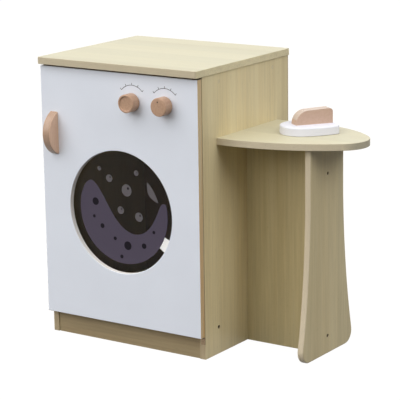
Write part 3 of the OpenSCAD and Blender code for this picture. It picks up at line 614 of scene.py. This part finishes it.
def grown(name, tree, places, values, sizes=None):
    """Runs a tree on loose points and gives its result as a plain mesh object."""
    mesh = bpy.data.meshes.new(name)
    mesh.from_pydata(places, [], [])
    if sizes:
        mesh.attributes.new("size", "FLOAT", "POINT").data.foreach_set("value", sizes)
    obj = bpy.data.objects.new(name, mesh)
    bpy.context.scene.collection.objects.link(obj)
    growth = obj.modifiers.new("growth", "NODES")
    growth.node_group = tree
    for item in tree.interface.items_tree:
        if item.in_out == "INPUT" and item.name in values:
            growth[item.identifier] = values[item.name]
    settled(obj)
    smooth(obj.data)
    return obj


def bubble_tree():
    """A flat round print on every point, as large as the point's size."""
    tree, given = geometry_tree("bubble_print", [
        ("Thickness", "Float"), ("Sides", "Int"), ("Finish", "Material")])
    disc = add(tree, "GeometryNodeMeshCylinder", {
        "Vertices": given["Sides"], "Radius": 1.0, "Depth": given["Thickness"]})
    size = add(tree, "GeometryNodeInputNamedAttribute", {"Name": "size"}, data_type="FLOAT")
    stretch = add(tree, "ShaderNodeCombineXYZ", {0: size.outputs[0], 1: size.outputs[0], 2: 1.0})
    spots = add(tree, "GeometryNodeMeshToPoints", {"Mesh": given["Geometry"]})
    rows = add(tree, "GeometryNodeInstanceOnPoints", {
        "Points": spots.outputs[0], "Instance": disc.outputs["Mesh"],
        "Rotation": (math.radians(90), 0, 0), "Scale": stretch.outputs[0]})
    tree_end(tree, rows.outputs[0], given["Finish"])
    return tree


def dial_tree():
    """A printed arc with outward ticks, round every point."""
    tree, given = geometry_tree("dial_marks", [
        ("Radius", "Float"), ("Start", "Float"), ("Sweep", "Float"), ("Ticks", "Int"),
        ("Tick Length", "Float"), ("Line Width", "Float"), ("Thickness", "Float"),
        ("Finish", "Material")])
    line = add(tree, "GeometryNodeCurveArc", {
        "Resolution": 48, "Radius": given["Radius"], "Start Angle": given["Start"],
        "Sweep Angle": given["Sweep"]}, mode="RADIUS")
    flat = add(tree, "GeometryNodeCurvePrimitiveQuadrilateral", {
        0: given["Line Width"], 1: given["Thickness"]}, mode="RECTANGLE")
    band = add(tree, "GeometryNodeCurveToMesh", {
        "Curve": line.outputs[0], "Profile Curve": flat.outputs[0], "Fill Caps": True})
    marks = add(tree, "GeometryNodeResampleCurve", {"Curve": line.outputs[0], "Count": given["Ticks"]})
    size = add(tree, "ShaderNodeCombineXYZ", {
        0: given["Line Width"], 1: given["Tick Length"], 2: given["Thickness"]})
    bar = add(tree, "GeometryNodeMeshCube", {"Size": size.outputs[0]})
    half = add(tree, "ShaderNodeMath", {0: given["Tick Length"], 1: -0.5}, operation="MULTIPLY")
    outward = add(tree, "ShaderNodeCombineXYZ", {1: half.outputs[0]})
    moved = add(tree, "GeometryNodeTransform", {
        "Geometry": bar.outputs[0], "Translation": outward.outputs[0]})
    tangent = add(tree, "GeometryNodeInputTangent")
    aligned = add(tree, "FunctionNodeAlignRotationToVector", {"Vector": tangent.outputs[0]},
                  axis="X", pivot_axis="Z")
    ticks = add(tree, "GeometryNodeInstanceOnPoints", {
        "Points": marks.outputs[0], "Instance": moved.outputs[0], "Rotation": aligned.outputs[0]})
    dial = add(tree, "GeometryNodeJoinGeometry")
    tree.links.new(band.outputs[0], dial.inputs[0])
    tree.links.new(ticks.outputs[0], dial.inputs[0])
    one = add(tree, "GeometryNodeGeometryToInstance", {0: dial.outputs[0]})
    spots = add(tree, "GeometryNodeMeshToPoints", {"Mesh": given["Geometry"]})
    rows = add(tree, "GeometryNodeInstanceOnPoints", {
        "Points": spots.outputs[0], "Instance": one.outputs[0],
        "Rotation": (math.radians(90), 0, 0)})
    tree_end(tree, rows.outputs[0], given["Finish"])
    return tree


# ---------------------------------------------------------------- camera, lights, floor

AIM = Vector((-0.0618, 0.0351, 0.2455))
AZIMUTH, ELEVATION, ROLL, DISTANCE = 34.077, 13.35, -0.845, 3.2882
LENS, SENSOR = 160.0, 36.0
SKY_LOW, SKY_HIGH = 0.06, 0.78                   # how strongly the studio's walls and ceiling light
WALL_TINT, CEILING_TINT = (1.0, 0.95, 0.86), (0.97, 0.985, 1.0)
FLOOR_SIDE, FLOOR_TONE = 12.0, (0.06, 0.055, 0.045)
FLOOR_LIFT = 0.975                               # brings the lit floor up to white where it is seen
# name, azimuth, elevation, size, power, colour
SOFTBOXES = [
    ("key", -40, 36, 9.0, 490, (1.0, 0.995, 0.985)),
    ("top", 36, 75, 6.0, 150, (1.0, 0.995, 0.985)),
    ("front", 0, 25, 5.0, 64, (1.0, 0.995, 0.985)),
    ("fill", 86, 39, 5.0, 226, (1.0, 0.99, 0.97)),
]
SOFTBOX_DISTANCE, SOFTBOX_AIM_Z = 8.0, 0.25


def toward(azimuth, elevation):
    """Unit vector from the object to a place round it. Azimuth 0 is in front of the door."""
    a, e = math.radians(azimuth), math.radians(elevation)
    return Vector((math.sin(a) * math.cos(e), -math.cos(a) * math.cos(e), math.sin(e)))


def camera():
    """A long lens, a little above the door's middle and well to its right."""
    data = bpy.data.cameras.new("camera")
    data.lens, data.sensor_width = LENS, SENSOR
    data.clip_start, data.clip_end = 0.1, 50
    obj = bpy.data.objects.new("camera", data)
    back = toward(AZIMUTH, ELEVATION)
    turn = (-back).to_track_quat("-Z", "Y").to_matrix() @ Matrix.Rotation(math.radians(ROLL), 3, "Z")
    obj.matrix_world = Matrix.Translation(AIM + back * DISTANCE) @ turn.to_4x4()
    bpy.context.scene.collection.objects.link(obj)
    bpy.context.scene.camera = obj


def softboxes():
    """Round soft lamps, each turned toward the part's middle."""
    for name, azimuth, elevation, size, power, colour in SOFTBOXES:
        data = bpy.data.lights.new(name, "AREA")
        data.shape, data.size, data.energy, data.color = "DISK", size, power, colour
        obj = bpy.data.objects.new(name, data)
        back = toward(azimuth, elevation)
        turn = (-back).to_track_quat("-Z", "Y").to_matrix().to_4x4()
        aim = Vector((0, 0, SOFTBOX_AIM_Z))
        obj.matrix_world = Matrix.Translation(aim + back * SOFTBOX_DISTANCE) @ turn
        bpy.context.scene.collection.objects.link(obj)


def seen_ray(tree):
    """1 for rays that show the background: straight, in a reflection or through glass."""
    path = add(tree, "ShaderNodeLightPath").outputs
    seen = maths(tree, "MAXIMUM", path["Is Camera Ray"], path["Is Glossy Ray"])
    return maths(tree, "MAXIMUM", seen, path["Is Transmission Ray"])


def world():
    """Plain studio light, brighter from above, in front of a white backdrop."""
    made = bpy.data.worlds.new("studio")
    made.use_nodes = True
    tree = made.node_tree
    tree.nodes.clear()
    height = add(tree, "ShaderNodeSeparateXYZ", {0: add(tree, "ShaderNodeTexCoord").outputs["Generated"]})
    rise = spread(tree, height.outputs[2], 0, 0.9)
    sky = spread(tree, rise, 0, 1, SKY_LOW, SKY_HIGH)
    tint = blend(tree, rise, WALL_TINT, CEILING_TINT)
    light = add(tree, "ShaderNodeBackground", {"Color": tint, "Strength": sky})
    white = add(tree, "ShaderNodeBackground", {"Color": (1, 1, 1, 1), "Strength": 1.0})
    both = add(tree, "ShaderNodeMixShader", {0: seen_ray(tree), 1: light.outputs[0], 2: white.outputs[0]})
    add(tree, "ShaderNodeOutputWorld", {0: both.outputs[0]})
    bpy.context.scene.world = made


def floor():
    """A matt floor that keeps the part's shadow and is white elsewhere."""
    mesh = bpy.data.meshes.new("floor")
    corners = [(-FLOOR_SIDE, -FLOOR_SIDE, 0), (FLOOR_SIDE, -FLOOR_SIDE, 0),
               (FLOOR_SIDE, FLOOR_SIDE, 0), (-FLOOR_SIDE, FLOOR_SIDE, 0)]
    mesh.from_pydata(corners, [], [(0, 1, 2, 3)])
    mat, tree, shader = blank_finish("floor_white")
    tree.nodes.remove(shader)
    matt = add(tree, "ShaderNodeBsdfDiffuse", {"Color": (*FLOOR_TONE, 1)})
    lift = maths(tree, "MULTIPLY", seen_ray(tree), FLOOR_LIFT)
    glow = add(tree, "ShaderNodeEmission", {"Color": (1, 1, 1, 1), "Strength": lift})
    both = add(tree, "ShaderNodeAddShader", {0: matt.outputs[0], 1: glow.outputs[0]})
    out = next(n for n in tree.nodes if n.type == "OUTPUT_MATERIAL")
    tree.links.new(both.outputs[0], out.inputs["Surface"])
    shown("floor", mesh, mat)


bpy.context.scene.view_settings.view_transform = "Standard"
camera()
world()
floor()
softboxes()

# ---------------------------------------------------------------- cabinet

# name, solid, rounding, faces, narrow edges, the axis through its thickness, slot
BOARDS = [
    # the side panels' narrow edges are in a darker wood, painted shade for the strips in the door's
    # shadow
    ("left_panel_wood", "left_side_panel", 0.8, side_wood, front_edge_painted_shade, "X", "light_wood"),
    ("right_panel_wood", "right_side_panel", 0.8, side_wood, front_edge_painted_shade, "X", "light_wood"),
    ("brace_wood_painted_shade", "brace_panel", 0.6, brace_wood_painted_shade, side_edge, "Y", "light_wood"),
    ("leg_wood_painted_shade", "leg_panel", 2.2, leg_wood_painted_shade, leg_edge_painted_shade, "X", "light_wood"),
    ("lid_wood", "lid_board", 0.5, lid_top, lid_edge, "Z", "top_wood"),
    ("ironing_board_wood", "ironing_board", 0.4, shelf_top_painted_light, shelf_edge, "Z", "top_wood"),
    ("bottom_board_wood", "bottom_board", 0.6, floor_wood, side_edge, "Z", "light_wood"),
    ("plinth_wood_painted_shade", "plinth_board", 0.6, plinth_wood_painted_shade, side_edge, "Y", "light_wood"),
    ("front_rail_wood", "front_top_rail", 0.6, rail_wood, side_edge, "Y", "light_wood"),
    ("back_rail_wood", "back_top_rail", 0.6, rail_wood, side_edge, "Y", "light_wood"),
    ("back_panel_board", "back_panel", 0.3, hardboard, hardboard, "Y", "hardboard"),
]


def boards():
    """Every plain board, with its faces and its narrow edges in their own wood."""
    for name, node, ease, face, edge, through, slot in BOARDS:
        axis = AXES[through]
        wood = eased(name, node, ease, face, edge, paint=lambda normal, _: int(abs(normal[axis]) < 0.5))
        carried(wood, "cabinet", slot, node)


boards()

# ---------------------------------------------------------------- door

def door_faces(normal, middle):
    """0 painted faces, 1 bare outer edges, 2 the hole's wall, in a lighter paint that is painted light, 3
    the bare top edge, in a dark brown that is painted shade for the gap under the lid.
    """
    if abs(normal.y) > 0.5:
        return 0
    if middle.z > DOOR[1].z - EDGE_REACH:
        return 3
    beside = min(middle.x - DOOR[0].x, DOOR[1].x - middle.x) < EDGE_REACH
    return 1 if beside or middle.z < DOOR[0].z + EDGE_REACH else 2


carried(eased("door_board", "door_panel", DOOR_EASE, door_white, door_edge, hole_wall_painted_light, top_edge_painted_shade,
              paint=door_faces), "door", "white_paint", "door_panel")


def handle_outline():
    """(y, z) round the half-moon: a disc's front with a rounded corner at each end."""
    # each corner's circle touches the disc from inside and crosses the door's face
    corner_y = DOOR_FRONT_Y - HANDLE_ROOT_R * HANDLE_ROOT_IN
    rise = math.sqrt((HANDLE_DISC_R - HANDLE_ROOT_R) ** 2 - (HANDLE_DISC_Y - corner_y) ** 2)
    meet = math.degrees(math.atan2(rise, corner_y - HANDLE_DISC_Y))
    stop = math.degrees(math.asin((DOOR_FRONT_Y - corner_y) / HANDLE_ROOT_R))
    top = curve_round(corner_y, HANDLE_Z + rise, HANDLE_ROOT_R, stop, meet, 5)
    front = curve_round(HANDLE_DISC_Y, HANDLE_Z, HANDLE_DISC_R, meet, 360 - meet, 40)
    low = [(y, 2 * HANDLE_Z - z) for y, z in reversed(top)]
    return top[:-1] + front + low[1:]


def handle():
    """Half-moon handle with a heavily eased rim: flat sides in a lighter beech, painted light, and narrow
    faces in a darker beech, painted shade.
    """
    outline = handle_outline()
    bm = bmesh.new()
    near = [bm.verts.new(at(HANDLE_X[0], y, z)) for y, z in outline]
    far = [bm.verts.new(at(HANDLE_X[1], y, z)) for y, z in outline]
    bm.faces.new(near)
    bm.faces.new(list(reversed(far)))
    count = len(outline)
    for i in range(count):
        j = (i + 1) % count
        bm.faces.new((near[i], far[i], far[j], near[j]))
    bmesh.ops.recalc_face_normals(bm, faces=bm.faces)
    weights = bm.edges.layers.float.new("bevel_weight_edge")
    # flat sides take the lighter beech, painted light; narrow faces the darker beech, painted shade
    for face in bm.faces:
        face.material_index = int(abs(face.normal.x) < 0.5)
    # the whole rim is eased but for the two edges against the door
    root = {near[0], near[-1], far[0], far[-1]}
    for edge in bm.edges:
        ends = set(edge.verts)
        rim = ends <= set(near) or ends <= set(far)
        edge[weights] = 1.0 if rim and not ends <= root else 0.0
    mesh = bpy.data.meshes.new("handle_beech")
    bm.to_mesh(mesh)
    bm.free()
    obj = shown("handle_beech", mesh, beech_painted_light, beech_painted_shade)
    bevel = obj.modifiers.new("ease", "BEVEL")
    bevel.limit_method, bevel.width, bevel.segments = "WEIGHT", mm(HANDLE_EASE), 5
    weigh(obj)
    return settled(obj)


carried(handle(), "door", "beech_wood", "door_handle")


def knob_profile(dished):
    """(radius, out) from the back's middle to the face's middle."""
    back = [(0, 0), (KNOB_R - KNOB_BACK_EASE, 0)]
    back += curve_round(KNOB_R - KNOB_BACK_EASE, KNOB_BACK_EASE, KNOB_BACK_EASE, -90, 0, 4)[1:]
    edge = curve_round(KNOB_R - KNOB_EASE, KNOB_L - KNOB_EASE, KNOB_EASE, 0, 90, 6)
    if not dished:
        return back + edge + [(KNOB_R * share, KNOB_L) for share in (0.6, 0.3, 0)]
    lip = curve_round(DISH_R + DISH_LIP, KNOB_L - DISH_LIP, DISH_LIP, 90, 180, 4)
    bottom = KNOB_L - DISH_DEEP
    cove = curve_round(DISH_R - DISH_COVE, bottom + DISH_COVE, DISH_COVE, 0, -90, 5)
    return back + edge + lip + cove[1:] + [(DISH_R / 2, bottom), (0, bottom)]


def knobs():
    """Both turned knobs, and the right one's pointer."""
    for side, x in zip(("left", "right"), KNOB_X):
        centre = at(x, KNOB_BACK_Y, KNOB_Z)
        knob = lathe(side + "_knob_beech", knob_profile(side == "left"), centre, 72, beech_turned)
        carried(knob, side + "_dial", "beech_wood", side + "_knob")
    # the pointer, a stained plug that stands a hair proud of the face
    a = math.radians(POINTER_TURN)
    centre = at(KNOB_X[1] + POINTER_OUT * math.cos(a), KNOB_BACK_Y, KNOB_Z + POINTER_OUT * math.sin(a))
    low, top = KNOB_L - POINTER_DEEP, KNOB_L + INK_LIFT
    dot = lathe("right_knob_dot", [(0, low), (POINTER_R, low), (POINTER_R, top), (0, top)],
                centre, 24, knob_dot)
    carried(dot, "right_dial", "beech_wood")


knobs()


def dials():
    """The ink round both knobs, on the door's face."""
    half = DIAL_SWEEP / 2
    centres = [at(x, DOOR_FRONT_Y - INK_LIFT, KNOB_Z) for x in KNOB_X]
    marks = grown("dial_marks", dial_tree(), centres, {
        "Radius": mm(DIAL_R), "Start": math.radians(90 - half), "Sweep": math.radians(DIAL_SWEEP),
        "Ticks": DIAL_TICKS, "Tick Length": mm(DIAL_TICK_L), "Line Width": mm(DIAL_LINE),
        "Thickness": mm(INK_T), "Finish": dial_print})
    carried(marks, "door", "white_paint")


dials()

# ---------------------------------------------------------------- window print

def pane():
    """The clear pane, a hair thinner than its rebate so that the two faces stay apart."""
    clear = eased("clear_pane", "window_pane", PANE_EASE, pane_clear, segments=2)
    middle = at(0, (PANE[0].y + PANE[1].y) / 2, 0).y
    for vertex in clear.data.vertices:
        if vertex.co.y < middle:
            vertex.co.y += mm(PANE_CLEARANCE)
    carried(clear, "door", "clear_pane", "window_pane")


pane()

# in millimetres about the window's centre: the water's surface, and bubbles with their radius
WAVE = [(-92, 27), (-84, 43), (-71, 51), (-58, 43), (-44, 24), (-30, 2), (-14, -19), (4, -33),
        (24, -39), (44, -34), (60, -20), (72, 0), (83, 22), (93, 24)]
DARK_BUBBLES = [(-62, 12, 7), (-48, -32, 4.5), (-20, -52, 3.5), (8, -62, 8), (44, -58, 5),
                (66, -30, 3), (-66, -16, 3), (-6, -84, 3.5)]
LIGHT_BUBBLES = [(-30, 58, 7), (8, 40, 11), (-6, 2, 7), (34, -6, 8.5), (30, 74, 5), (-52, 74, 4)]


def along_curve(points):
    """A smooth line through points, with six steps from each to the next."""
    line = []
    for i in range(len(points) - 1):
        near = [max(0, min(len(points) - 1, k)) for k in (i - 1, i, i + 1, i + 2)]
        before, a, b, after = (Vector(points[k]) for k in near)
        for step in range(6):
            t = step / 6
            line.append(0.5 * (2 * a + (b - before) * t + (2 * before - 5 * a + 4 * b - after) * t * t
                               + (3 * a - before - 3 * b + after) * t ** 3))
    return line + [Vector(points[-1])]


def water():
    """The print below the wave, out to the film's rim."""
    surface = [p for p in along_curve(WAVE) if p.length < PRINT_R]
    start = math.degrees(math.atan2(surface[-1].y, surface[-1].x))
    stop = math.degrees(math.atan2(surface[0].y, surface[0].x)) - 360
    rim = curve_round(0, 0, PRINT_R, start, stop, 90)
    film = printed("print_water_film", [[tuple(p) for p in surface] + rim], water_print)
    carried(film, "door", "print_film", "window_print")


def gleam():
    """A crescent of light at the upper right, thin at both ends."""
    outer = curve_round(0, 0, GLEAM_R, GLEAM_FROM, GLEAM_TO, GLEAM_STEPS)
    along = [(i + 0.5) / len(outer) for i in range(len(outer))]
    width = [GLEAM_WIDTH * math.sin(math.pi * share) ** 0.8 for share in along]
    inner = [(x * (1 - w), z * (1 - w)) for (x, z), w in zip(outer, width)]
    carried(printed("print_gleam", [outer + inner[::-1]], bubble_print), "door", "print_film")


def bubbles():
    """Dark bubbles on the water, and light ones above it, each with a dark spark."""
    tree = bubble_tree()
    # name, bubbles, layers in front of the pane, finish, share of the radius, shift in radii
    prints = [("print_dark_bubbles", DARK_BUBBLES, 1.5, shade_print, 1.0, (0, 0)),
              ("print_light_bubbles", LIGHT_BUBBLES, 0.5, bubble_print, 1.0, (0, 0)),
              ("print_bubble_sparks", LIGHT_BUBBLES, 1.5, shade_print, 0.22, (0.3, 0.35))]
    for name, places, layer, mat, share, (right, up) in prints:
        y = PANE_FRONT_Y - FILM_T * layer
        spots = [at(WINDOW_X + x + right * r, y, WINDOW_Z + z + up * r) for x, z, r in places]
        thickness = mm(FILM_T * (1 - FILM_GAP))
        film = grown(name, tree, spots, {"Thickness": thickness, "Sides": 32, "Finish": mat},
                     [mm(r * share) for _, _, r in places])
        carried(film, "door", "print_film")


water()
gleam()
bubbles()

# ---------------------------------------------------------------- toy iron


def iron():
    """White sole, rounder above than at its foot, under a beech grip whose upward faces are lighter and
    greyer: a painted highlight.
    """
    sole = eased("iron_sole_white", "iron_sole", SOLE_EASE, iron_white, segments=4, small=0.04,
                 keep=lambda middle: 1.0 if middle.z > SOLE_RIM_Z else SOLE_FOOT_SHARE)
    carried(sole, "toy_iron", "iron_white_paint", "iron_sole")
    grip = eased("iron_grip_beech", "iron_handle", GRIP_EASE, beech_grip, beech_grip_painted_highlight, segments=4,
                 small=0.04, keep=lambda middle: middle.z > GRIP_RIM_Z,
                 paint=lambda normal, _: int(normal.z > GRIP_HIGHLIGHT_SLOPE))
    carried(grip, "toy_iron", "beech_wood", "iron_handle")


iron()

# ---------------------------------------------------------------- finishes of the remaining solids

SLOT_FINISH = {
    "light_wood": side_wood, "top_wood": lid_top, "hardboard": hardboard, "dowel_wood": dowel_wood,
    "zinc_steel": zinc, "dark_steel": dark_steel, "white_plastic": nylon, "magnet_ceramic": ferrite,
    "white_paint": door_white, "tan_plastic": tan_plastic, "clear_pane": pane_clear,
    "print_film": water_print, "beech_wood": beech_painted_light, "iron_white_paint": iron_white,
}
OWN_FINISH = {"window_film_tab": tab_white, "top_pivot_bush": ferrite, "bottom_pivot_bush": ferrite,
              "top_pivot_pin": dark_steel, "pivot_bracket_screw": shade_brown_steel,
              "bottom_pivot_bracket": shade_brown_steel}


def solids_left():
    """Gives every CAD solid its slot's finish, or its own."""
    slots = {row["node"]: row["material_slot"] for row in frame["record"]["subparts"]}
    for name, obj in frame["nodes"].items():
        for place in obj.material_slots:
            place.material = OWN_FINISH.get(name, SLOT_FINISH[slots[name]])


solids_left()
